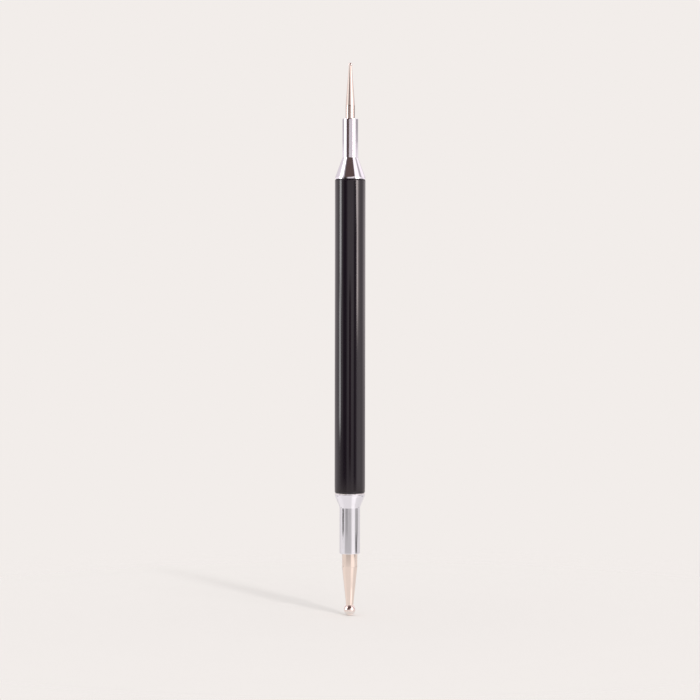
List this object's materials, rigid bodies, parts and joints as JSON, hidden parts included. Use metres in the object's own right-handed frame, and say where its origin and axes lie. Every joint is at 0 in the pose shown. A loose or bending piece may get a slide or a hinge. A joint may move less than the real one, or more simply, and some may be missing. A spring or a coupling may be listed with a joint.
{
  "type": "embossing stylus",
  "caption": "Slim double-ended stylus with a ball tip on each tapered stem, turned ferrules and a round tube handle, for embossing and dotting by hand.",
  "frame": {"origin": "lowest point of the large ball, where the upright tool touches the surface it stands on, on the tool's axis", "axes": "+Z along the tool's axis from the large ball to the small ball; the tool is round, so X and Y are free"},
  "size_m": [0.008, 0.008, 0.1446],
  "materials": {
    "black_lacquer": "gloss",
    "chrome_plate": "polished",
    "stem_steel": "polished",
    "ball_steel": "polished",
    "cured_adhesive": "gloss"
  },
  "bodies": {
    "root": {"handle_tube": "black_lacquer", "large_ferrule": "chrome_plate", "small_ferrule": "chrome_plate", "large_stem": "stem_steel", "small_stem": "stem_steel", "large_ball": "ball_steel", "small_ball": "ball_steel", "large_bond": "cured_adhesive", "small_bond": "cured_adhesive"}
  },
  "joints": []
}
